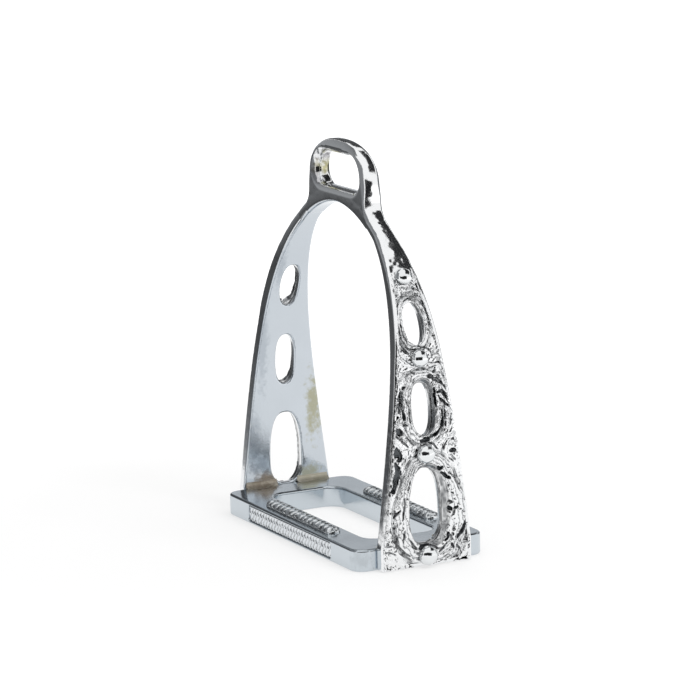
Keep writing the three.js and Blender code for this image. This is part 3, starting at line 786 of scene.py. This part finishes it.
def ring_relief(ring, wider, y, z, frayed):
    """Where a ring lies, the height of its strands, the groove round it and its lip at the hole."""
    out = egg(ring, y, z) / (1 + wider)
    width = ring["width"]
    wear = 0.2 * noise(*frayed, 0, 1.8) + 0.14 * noise(y, z, 0, 0.9)
    strand = out + 0.6 * noise(y, z, 8, 4) + 0.3 * noise(y, z, 13, 1.6)
    strand = strand / width * round(width / STRAND_PITCH)
    strand = bulge((strand % 1 - 0.5) / 0.48)
    strands = RELIEF_LEVEL - STRAND_FOOT + wear + (0.55 + 0.55 * out / width) * strand
    groove = bulge((out - width - GROOVE_ASIDE) / GROOVE_HALF) * (0.65 + 0.5 * noise(y, z, 1, 2))
    lip = fading(out, 0.1, 0.45) * (out > -1.5) * (0.5 + 0.4 * noise(y, z, 2, 1.6))
    return (out > -0.5) & (out < width), strands, groove, lip


def relief_tables():
    """Height of the ornament and the painted shade in its hollows, across the arm and up."""
    span = np.arange(-RELIEF_HALF, RELIEF_HALF, RELIEF_STEP)
    rise = np.arange(0, RELIEF_TOP, RELIEF_STEP)
    y, z = np.meshgrid(span, rise, indexing="ij")
    frayed = y + FRAYED * noise(y, z, 0, 1.7), z + FRAYED * noise(z, y, 9, 1.7)
    height, veins = ground(y, z, frayed)
    for half, up, *places in RIDGES:
        at, section = stroke(span, rise, *frayed, half, places)
        height[at] = np.maximum(height[at], RELIEF_LEVEL - 0.3 + (up + 0.3) * section)
    height = height - 0.4 * veins
    # Painted shade: the veins, the rings' grooves and lips, the carved lines and the sunk places
    # are darkened
    dark = 0.6 * veins
    for number, ring in enumerate(RINGS):
        # The low ring grows wider toward its foot, most of all at the rear
        wider = fading(z, 22, 38) * (0.55 + 0.4 * (y > 0)) if number == 0 else 0
        within, strands, groove, lip = ring_relief(ring, wider, y, z, frayed)
        height = np.where(within, strands, height) - groove
        dark = np.maximum(dark, np.maximum(0.75 * rising(groove, 0.3, 0.9), lip))
    for half, deep, *places in LINES:
        at, section = stroke(span, rise, *frayed, half * 1.15, places)
        low = np.minimum(height[at], RELIEF_LEVEL + 0.3) - deep * section
        height[at] = np.maximum(low, RELIEF_FLOOR)
        dark[at] = np.maximum(dark[at], min(1, deep / 1.5) * rising(section, 0.35, 0.8))
    soft = height
    for axis in (0, 1):
        shifts = range(-RELIEF_BLUR, RELIEF_BLUR + 1)
        soft = sum(np.roll(soft, shift, axis) for shift in shifts) / len(shifts)
    hollow = rising(soft - height, 0.12, 0.7)
    return height, np.maximum(dark, 0.6 * hollow)


RELIEF, HOLLOW_SHADE = relief_tables()


def looked_up(table, y, z):
    return between_cells((y + RELIEF_HALF) / RELIEF_STEP, z / RELIEF_STEP, table)[0]


def plate_field(x, y, z):
    """The right arm's ornament: a plug in the pocket under a thin lid that covers the sunk rim."""
    depth, _ = arch(x, z)
    edge = np.abs(y) - arm_half(z) + 0.25 + 0.3 * noise(x, y, z, 2)
    border = BORDER_RISE * bulge((edge + BORDER_INSET) / BORDER_HALF)
    top = depth - looked_up(RELIEF, y, z) - border + SINKING * rising(z, *SINKING_BAND)
    plug = both(both(top, POCKET_FLOOR + SLIP - depth), arm_outline(y, z, RIM + SLIP))
    under = np.maximum(ARM_THICKNESS - RIM_SUNK - depth, FOOT_LIFT + SLIP - z)
    lid = both(both(top, edge + SLIP, ORNAMENT_ROUND), under)
    body = either(plug, lid)
    share = np.clip((depth - POCKET_FLOOR) / POCKET_DEPTH, 0, 1)
    for hole, ring in zip(HOLES, RINGS):
        opening = egg(hole, y, z, CLEARANCE) * (1 - share) + egg(ring, y, z) * share
        body = both(body, -opening)
    return body


def plate_shade(points):
    """Painted shade on the ornament: darker in the carved hollows, on the holes' walls and along
    the front margin low down.
    """
    x, y, z = points.T
    depth, _ = arch(x, z)
    near = np.min([np.abs(egg(ring, y, z)) for ring in RINGS], axis=0)
    wall = fading(depth, 4.5, 5.0) * rising(depth, 3.0, 3.8)
    wall = wall * (0.6 + 0.35 * noise(x, y, z, 1.1)) * (near < 3)
    margin = 1 - rising(y, -arm_half(z), 2.2 - arm_half(z))
    margin = margin * fading(z, 52, 66) * rising(z, 10, 20)
    margin = margin * (0.55 + 0.45 * noise(x, y, z, 1.3))
    carved = looked_up(HOLLOW_SHADE, y, z) * (1 - 0.55 * rising(z, 60, 100))
    return np.maximum(carved, np.maximum(wall, margin))


# Braze

def braze_field(side):
    """The hollow fillet between the right arm and the tread, behind the low hole or before it."""
    def field(x, y, z):
        away = ARCH_FOOT - x
        up = z - TREAD_HEIGHT
        hollow = 2 * np.sqrt(np.clip(away * up, 0, None) / (BRAZE_TOE * BRAZE_RISE))
        bead = away / BRAZE_TOE + up / BRAZE_RISE - 1 + hollow
        body = both(bead * 2.5 + 0.14 * noise(x, y, z, 2.2), both(-away - 0.2, -up - 0.1))
        middle, half = (BRAZE_INNER + BRAZE_OUTER) / 2, (BRAZE_OUTER - BRAZE_INNER) / 2
        return both(body, slab(y * side, middle, half), BRAZE_ROUND)
    return field


# Studs

def dome(side, number, height, radius, sign):
    """A dome-headed stud that stands square on the arm's outer face."""
    line_x, line_z = arch_line()
    tangent = np.gradient(line_x), np.gradient(line_z)
    length = np.hypot(*tangent)
    outer_x = line_x + tangent[1] / length * ARM_THICKNESS
    outer_z = line_z - tangent[0] / length * ARM_THICKNESS
    at = int(np.abs(outer_z - TREAD_HEIGHT - height).argmin())
    normal = np.array([tangent[1][at], 0, -tangent[0][at]]) / length[at]
    across = np.array([0, 1, 0])
    upward = np.cross(normal, across)
    turn = np.linspace(0, 2 * math.pi, DOME_SIDES, endpoint=False)
    profile = [(radius * 0.9, -DOME_SUNK), (radius, DOME_BRIM)]
    for step in range(1, DOME_STEPS):
        angle = step / DOME_STEPS * math.pi / 2
        rise = DOME_BRIM + DOME_RISE * radius * math.sin(angle)
        profile.append((radius * math.cos(angle), rise))
    points = []
    for r, rise in profile:
        for angle in turn:
            points.append(r * math.cos(angle) * across + r * math.sin(angle) * upward
                          + rise * normal)
    points.append((DOME_BRIM + DOME_RISE * radius) * normal)
    points.append(-DOME_SUNK * normal)
    points = np.array(points) + [outer_x[at], 0, outer_z[at]]
    faces = []
    for ring in range(0, (len(profile) - 1) * DOME_SIDES, DOME_SIDES):
        for place in range(DOME_SIDES):
            after = (place + 1) % DOME_SIDES
            faces.append((ring + place, ring + after,
                          ring + DOME_SIDES + after, ring + DOME_SIDES + place))
    tip = len(profile) * DOME_SIDES
    last = tip - DOME_SIDES
    for a in range(0, DOME_SIDES, 2):
        b, c = a + 1, (a + 2) % DOME_SIDES
        faces.append((last + a, last + b, last + c, tip))
        faces.append((c, b, a, tip + 1))
    points *= [sign, sign, 1]
    # Painted shade round the dome's foot, where it meets the arm
    foot = np.append(np.repeat([rise for _, rise in profile], DOME_SIDES), [radius, 0])
    foot = 0.75 * fading(foot, 0.05 * radius, 0.22 * radius)
    piece(f"{side}_dome_{number}", points, np.array(faces), domed,
          f"{side}_stud_{number}", marks={"painted_shade": foot})


# Materials

def node(tree, kind, *sources, **settings):
    """A new node with sources linked to its first inputs, and values for its sockets or itself."""
    made = tree.nodes.new(kind)
    for key, value in settings.items():
        if key in made.inputs:
            made.inputs[key].default_value = value
        else:
            setattr(made, key, value)
    for source, socket in zip(sources, made.inputs):
        tree.links.new(source, socket)
    return made


def spread(tree, value, from_min, from_max, to_min, to_max, kind="LINEAR"):
    """A value moved from one range to another."""
    ends = {"From Min": from_min, "From Max": from_max, "To Min": to_min, "To Max": to_max}
    ramp = node(tree, "ShaderNodeMapRange", value, interpolation_type=kind, **ends)
    return ramp.outputs["Result"]


def computed(tree, operation, a, b):
    return node(tree, "ShaderNodeMath", a, b, operation=operation).outputs["Value"]


def tinted(tree, share, color_out, color):
    """Lays a colour over another one by a share from 0 to 1."""
    tint = node(tree, "ShaderNodeMix", data_type="RGBA")
    tint.inputs["B"].default_value = (*color, 1)
    tree.links.new(share, tint.inputs["Factor"])
    tree.links.new(color_out, tint.inputs["A"])
    return tint.outputs["Result"]


def mottled_patch(tree, place, color_out, middle, reach, color, strength):
    """Lays a soft, mottled patch of another colour round a place given in millimetres: discolouring
    of the metal, and for some entries painted shade.
    """
    frayed = node(tree, "ShaderNodeTexNoise", place, Scale=380, Detail=6, Roughness=0.65)
    near = node(tree, "ShaderNodeMapping", place, Scale=[1 / (r * MM) for r in reach],
                Location=[-m / r for m, r in zip(middle, reach)])
    away = node(tree, "ShaderNodeVectorMath", near.outputs["Vector"], operation="LENGTH")
    fray = spread(tree, frayed.outputs["Fac"], 0.3, 0.7, -0.5, 0.5)
    rough = computed(tree, "ADD", away.outputs["Value"], fray)
    mask = spread(tree, rough, 1.25, 0.25, 0, strength, "SMOOTHSTEP")
    return tinted(tree, mask, color_out, color)


def marked(tree, mark_name, color_out, color):
    """Another colour where the mesh carries a mark."""
    mark = node(tree, "ShaderNodeAttribute", attribute_name=mark_name)
    return tinted(tree, mark.outputs["Fac"], color_out, color)


ROUGHNESS_SPREAD = 0.06
TONE_LOW, TONE_HIGH = 0.93, 1.05


def chrome(name, color, roughness, bump=0.02, grain=900, mirror=None, shade_color=None, stains_and_shade=()):
    """Chrome plate whose tone, roughness and surface vary a little."""
    material = bpy.data.materials.new(name)
    material.use_nodes = True
    tree = material.node_tree
    shader = tree.nodes["Principled BSDF"]
    shader.inputs["Metallic"].default_value = 1
    place = node(tree, "ShaderNodeTexCoord").outputs["Object"]
    cloud = node(tree, "ShaderNodeTexNoise", place, Scale=70, Detail=4)
    gloss = spread(tree, cloud.outputs["Fac"], 0.3, 0.7,
                   roughness - ROUGHNESS_SPREAD, roughness + ROUGHNESS_SPREAD)
    tree.links.new(gloss, shader.inputs["Roughness"])
    tone = node(tree, "ShaderNodeMix", data_type="RGBA")
    tone.inputs["A"].default_value = (*[c * TONE_LOW for c in color], 1)
    tone.inputs["B"].default_value = (*[c * TONE_HIGH for c in color], 1)
    tree.links.new(cloud.outputs["Fac"], tone.inputs["Factor"])
    color_out = tone.outputs["Result"]
    if mirror:
        color_out = marked(tree, "polish", color_out, mirror)
    for patch in stains_and_shade:
        color_out = mottled_patch(tree, place, color_out, *patch)
    # Painted shade in hollows and creases, from the mark the mesh carries
    if shade_color:
        color_out = marked(tree, "painted_shade", color_out, shade_color)
    tree.links.new(color_out, shader.inputs["Base Color"])
    fine = node(tree, "ShaderNodeTexNoise", place, Scale=grain, Detail=3)
    relief = node(tree, "ShaderNodeBump", Strength=bump, Distance=MM)
    tree.links.new(fine.outputs["Fac"], relief.inputs["Height"])
    tree.links.new(relief.outputs["Normal"], shader.inputs["Normal"])
    return material


# The two darkest colours are laid mostly as painted shade into hollows, corners and edges
NEAR_BLACK = (0.025, 0.028, 0.032)
SHADE_GREY = (0.08, 0.086, 0.092)
STRAW = (0.36, 0.34, 0.19)
BROWN = (0.2, 0.13, 0.06)
SLATE = (0.16, 0.2, 0.25)
MAUVE = (0.2, 0.19, 0.21)
MIRROR = (0.9, 0.91, 0.92)

# Stains, tints and painted shade: middle, reach, colour, strength
BOW_STAINS_AND_SHADE = [
    ((-61, -10, 12.5), (6, 6, 3.4), BROWN, 0.8),
    ((-61, 11, 13), (6, 6, 4), STRAW, 0.7),
    ((-61, -13, 18), (6, 6, 5), SLATE, 0.4),
    ((-61, -15.5, 30), (6, 4, 14), SLATE, 0.3),
    ((-60, -11, 72), (6, 3, 22), SLATE, 0.3),
    ((-52, -5.5, 108), (9, 2.5, 12), SLATE, 0.3),
    ((-61, 13.5, 42), (6, 4, 15), STRAW, 0.75),
    # Painted shade along the right arm's front edge, low down
    ((62, -17, 38), (8, 6, 28), NEAR_BLACK, 0.75),
    ((-20, 1.5, 154), (4, 6, 4.5), STRAW, 0.95),
    ((-20, 1.5, 160.5), (5, 6.5, 4.6), MAUVE, 0.95),
    # Painted shade in the lower corner of the strap slot
    ((-20, 1, 147.5), (4, 4, 2.5), NEAR_BLACK, 0.8),
    ((-20, -3, 150), (4, 2.5, 5), MAUVE, 0.5),
]
BRAZE_STAINS = [
    ((-59, -13, 11.5), (6, 12, 4), BROWN, 0.6),
    ((-59, 13, 11.5), (6, 12, 4), STRAW, 0.4),
]
TREAD_TINTS = [
    ((-58, -12, 9), (5, 7, 2), BROWN, 0.6),
    ((-57, 10, 9), (5, 6, 2), STRAW, 0.4),
    ((-48, -22, 9), (14, 7, 2), SLATE, 0.2),
    # A faint near-black patch on the tread's front right corner
    ((59, -27, 5), (5, 4, 4), NEAR_BLACK, 0.15),
]

polished = chrome("polished_chrome", (0.6, 0.645, 0.69), 0.13, mirror=MIRROR, shade_color=NEAR_BLACK,
                  stains_and_shade=BOW_STAINS_AND_SHADE)
satin = chrome("satin_chrome", (0.6, 0.65, 0.69), 0.18, stains_and_shade=TREAD_TINTS)
bright = chrome("bright_chrome", MIRROR, 0.12, bump=0.14, grain=1100, shade_color=SHADE_GREY)
domed = chrome("domed_chrome", (0.84, 0.86, 0.87), 0.1, bump=0.2, grain=420, shade_color=SHADE_GREY)
worked = chrome("worked_chrome", (0.74, 0.77, 0.8), 0.16, bump=0.08, shade_color=SHADE_GREY)
ribbed = chrome("ribbed_chrome", (0.78, 0.81, 0.83), 0.15, bump=0.06, shade_color=SHADE_GREY)
brazed = chrome("tinted_braze", (0.72, 0.68, 0.6), 0.5, stains_and_shade=BRAZE_STAINS)


# Camera, from the photograph's perspective: degrees, metres, and pixels of the photograph

CAMERA_TURN = 62.859
CAMERA_TILT = 10.818
CAMERA_ROLL = -1.341
CAMERA_DISTANCE = 1.53977
CAMERA_AIM = (0, 0, 0.095)
FOCAL_PIXELS = 3697.1
FRAME_PIXELS = 700
MIDDLE_ACROSS, MIDDLE_DOWN = -2.74, -38.72
SENSOR_WIDTH = 36


def place_camera():
    turn, tilt, roll = (math.radians(v) for v in (CAMERA_TURN, CAMERA_TILT, CAMERA_ROLL))
    out = math.cos(tilt)
    back = Vector((math.sin(turn) * out, -math.cos(turn) * out, math.sin(tilt)))
    right = Vector((math.cos(turn), math.sin(turn), 0))
    up = back.cross(right)
    right, up = (right * math.cos(roll) + up * math.sin(roll),
                 up * math.cos(roll) - right * math.sin(roll))
    place = Vector(CAMERA_AIM) + back * CAMERA_DISTANCE
    back = back + right * MIDDLE_ACROSS / FOCAL_PIXELS - up * MIDDLE_DOWN / FOCAL_PIXELS
    back = back.normalized()
    right = up.cross(back).normalized()
    up = back.cross(right)
    camera = placed("camera", bpy.data.cameras.new("camera"))
    pose = Matrix((right, up, back)).transposed().to_4x4()
    pose.translation = place
    camera.matrix_world = pose
    camera.data.sensor_width = SENSOR_WIDTH
    camera.data.lens = FOCAL_PIXELS / FRAME_PIXELS * SENSOR_WIDTH
    bpy.context.scene.camera = camera


# Studio, in metres

WORLD_LEVEL = 0.5
CARD_TINT = (0.97, 1, 1.04, 1)
FLOOR_COLOR = (0.42, 0.42, 0.42, 1)
FLOOR_GLOW = 0.59
FLOOR_SIZE = 12
STRIP_TURN = 27

# Lamps: name, place, size, power
LAMPS = [
    ("overhead", (0.1, 0.2, 1.6), (1.6, 1.6), 14),
    ("right", (1.6, 0.6, 1.0), (0.8, 1.2), 8),
]

# Cards: name, degrees from +X toward +Y, distance, width, height, lower edge, glow there and on top
CARDS = [
    ("left_front_low_card", 207, 0.22, 0.3, 0.03, 0.001, 0.3, 0.12),
    ("left_front_card", 207, 0.22, 0.3, 0.07, 0.031, 0.1, 0.06),
    ("left_front_middle_card", 207, 0.22, 0.3, 0.08, 0.101, 0.09, 0.32),
    ("left_front_upper_card", 207, 0.22, 0.3, 0.5, 0.181, 0.3, 0.1),
    ("left_back_card", 148, 0.6, 0.5, 0.24, 0.001, 0.58, 0.62),
    ("left_back_upper_card", 148, 0.6, 0.5, 0.4, 0.241, 0.1, 0.04),
    ("right_back_card", 103, 0.6, 0.48, 0.3, 0.001, 0.16, 0.16),
    ("camera_side_card", -20, 0.45, 0.76, 0.27, 0.001, 0.02, 0.02),
    ("front_card", 262, 0.3, 0.3, 0.5, 0.001, 0.22, 0.22),
]


def plane(name, width, height, place, toward, material):
    """A flat card that faces a point."""
    mesh = bpy.data.meshes.new(name)
    w, h = width / 2, height / 2
    mesh.from_pydata([(-w, -h, 0), (w, -h, 0), (w, h, 0), (-w, h, 0)], [], [(0, 1, 2, 3)])
    mesh.materials.append(material)
    made = placed(name, mesh)
    made.location = place
    made.rotation_euler = (Vector(toward) - Vector(place)).to_track_quat("Z", "Y").to_euler()
    return made


def bright_for_sight(tree):
    """1 for rays from the camera and for those that metal and glass show, and 0 for others."""
    rays = node(tree, "ShaderNodeLightPath")
    seen = rays.outputs["Is Camera Ray"]
    for name in ("Is Glossy Ray", "Is Transmission Ray"):
        seen = computed(tree, "MAXIMUM", seen, rays.outputs[name])
    return seen


def bare_material(name):
    """A new material, its node tree and its open surface socket."""
    material = bpy.data.materials.new(name)
    material.use_nodes = True
    tree = material.node_tree
    tree.nodes.remove(tree.nodes["Principled BSDF"])
    return material, tree, tree.nodes["Material Output"].inputs["Surface"]


def floor_material():
    """Pale and matt near the object, where it keeps the shadow, and plain white far off."""
    material, tree, surface = bare_material("floor")
    matt = node(tree, "ShaderNodeBsdfDiffuse", Color=FLOOR_COLOR)
    glow = node(tree, "ShaderNodeEmission", Color=(1, 1, 1, 1))
    place = node(tree, "ShaderNodeTexCoord")
    away = node(tree, "ShaderNodeVectorMath", place.outputs["Object"], operation="LENGTH")
    level = spread(tree, away.outputs["Value"], 0.15, 0.9, FLOOR_GLOW, 1)
    strength = computed(tree, "MULTIPLY", level, bright_for_sight(tree))
    tree.links.new(strength, glow.inputs["Strength"])
    both_shaders = node(tree, "ShaderNodeAddShader", matt.outputs["BSDF"], glow.outputs["Emission"])
    tree.links.new(both_shaders.outputs["Shader"], surface)
    return material


def card_material(name, low_level, high_level):
    """Glows from one level at the card's lower edge to another at its upper edge."""
    material, tree, surface = bare_material(name)
    glow = node(tree, "ShaderNodeEmission", Color=CARD_TINT)
    place = node(tree, "ShaderNodeTexCoord")
    parts = node(tree, "ShaderNodeSeparateXYZ", place.outputs["Generated"])
    level = spread(tree, parts.outputs["Y"], 0, 1, low_level, high_level)
    tree.links.new(level, glow.inputs["Strength"])
    tree.links.new(glow.outputs["Emission"], surface)
    return material


def card(name, width, height, place, toward, low_level, high_level):
    """A studio card that only reflections show."""
    made = plane(name, width, height, place, toward, card_material(name, low_level, high_level))
    made.visible_camera = False
    made.visible_diffuse = False
    made.visible_shadow = False
    return made


def standing_card(name, azimuth, distance, width, height, low, low_level, high_level):
    """A card that stands round the object and faces its axis."""
    angle, middle = math.radians(azimuth), low + height / 2
    place = (math.cos(angle) * distance, math.sin(angle) * distance, middle)
    card(name, width, height, place, (0, 0, middle), low_level, high_level)


def lamp(name, place, size, power):
    """A soft lamp toward the origin that reflections don't show."""
    light = bpy.data.lights.new(name, "AREA")
    light.shape = "RECTANGLE"
    light.size, light.size_y = size
    light.energy = power
    made = placed(name, light)
    made.location = place
    made.rotation_euler = (-Vector(place)).to_track_quat("-Z", "Y").to_euler()
    made.visible_glossy = False


def place_world():
    world = bpy.data.worlds.new("studio")
    bpy.context.scene.world = world
    world.use_nodes = True
    tree = world.node_tree
    background = tree.nodes["Background"]
    background.inputs["Color"].default_value = (1, 1, 1, 1)
    seen = bright_for_sight(tree)
    tree.links.new(spread(tree, seen, 0, 1, WORLD_LEVEL, 1), background.inputs["Strength"])


def studio():
    bpy.context.scene.view_settings.view_transform = "Standard"
    place_world()
    plane("floor", FLOOR_SIZE, FLOOR_SIZE, (0, 0, 0), (0, 0, 1), floor_material())
    for values in LAMPS:
        lamp(*values)
    for values in CARDS:
        standing_card(*values)
    # One card lies on the floor at the left front, and one hangs high up behind
    strip = card("dark_strip", 0.22, 0.04, (-0.13, -0.123, 0.002), (-0.13, -0.123, 1), 0.24, 0.24)
    strip.rotation_euler = (0, 0, math.radians(STRIP_TURN))
    card("dark_roof", 1.4, 1.3, (0.2, 1.03, 1.0), (0.2, 1.03, 0), 0.03, 0.03)


place_camera()
studio()

# The object, with the cells of its nets and the sign of each row and side

BOW_CELL = 0.55
TREAD_CELL = 0.45
GRIP_CELL = 0.25
FRIEZE_CELL = 0.25
ORNAMENT_CELL = 0.33
BRAZE_CELL = 0.3
ROWS = (("rear", 1), ("front", -1))
SIDES = (("right", 1), ("left", -1))


def turned(points, side):
    """As they are for side 1, and half a turn round the upright axis for side -1."""
    return points * [side, side, 1]


points, faces = skin(bow_field, (-70, -22, 0), (70, 22, EYE_TOP + 1), BOW_CELL)
piece("bow_metal", points, faces, polished, "bow", normals_of(bow_field, points),
      {"painted_shade": shaded_walls(points), "polish": mirror_bright(points)})

half_length, half_depth = TREAD_LENGTH / 2, TREAD_DEPTH / 2
points, faces = skin(tread_field, (-half_length, -half_depth, 0),
                     (half_length, half_depth, TREAD_HEIGHT), TREAD_CELL)
piece("tread_metal", points, faces, satin, "tread_frame",
      normals_of(tread_field, points))

half_length, half_width = GRIP_LENGTH / 2, GRIP_WIDTH / 2
points, faces = skin(grip_field, (-half_length, -half_width, TREAD_HEIGHT - 1),
                     (half_length, half_width, TREAD_HEIGHT + GRIP_HEIGHT + 1), GRIP_CELL)
marks = {"painted_shade": grip_shade(points)}
for name, side in ROWS:
    piece(f"{name}_grip_bar", points + [0, side * GRIP_PLACE, 0], faces, ribbed,
          f"{name}_grip", marks=marks)

half_length = FRIEZE_LENGTH / 2
points, faces = skin(frieze_field, (-half_length, half_depth - 2, 0),
                     (half_length, half_depth, TREAD_HEIGHT), FRIEZE_CELL, slack=0.5)
marks = {"painted_shade": frieze_shade(points)}
for name, side in ROWS:
    piece(f"{name}_frieze_relief", turned(points, side), faces, worked,
          f"{name}_frieze", marks=marks)

points, faces = skin(plate_field, (36, -21, 0), (70, 21, 124), ORNAMENT_CELL, slack=1.0, rounds=1)
normals = normals_of(plate_field, points)
marks = {"painted_shade": plate_shade(points)}
for name, side in SIDES:
    piece(f"{name}_ornament", turned(points, side), faces, bright,
          f"{name}_plate", turned(normals, side), marks)

for name, side in SIDES:
    for number, (height, radius) in enumerate(STUDS, 1):
        dome(name, number, height, radius, side)

for row, along in ROWS:
    points, faces = skin(braze_field(along), (52, -21, 8), (62, 21, 15), BRAZE_CELL)
    for name, side in SIDES:
        piece(f"{name}_{row}_fillet", turned(points, side), faces, brazed,
              f"{name}_{row}_braze")
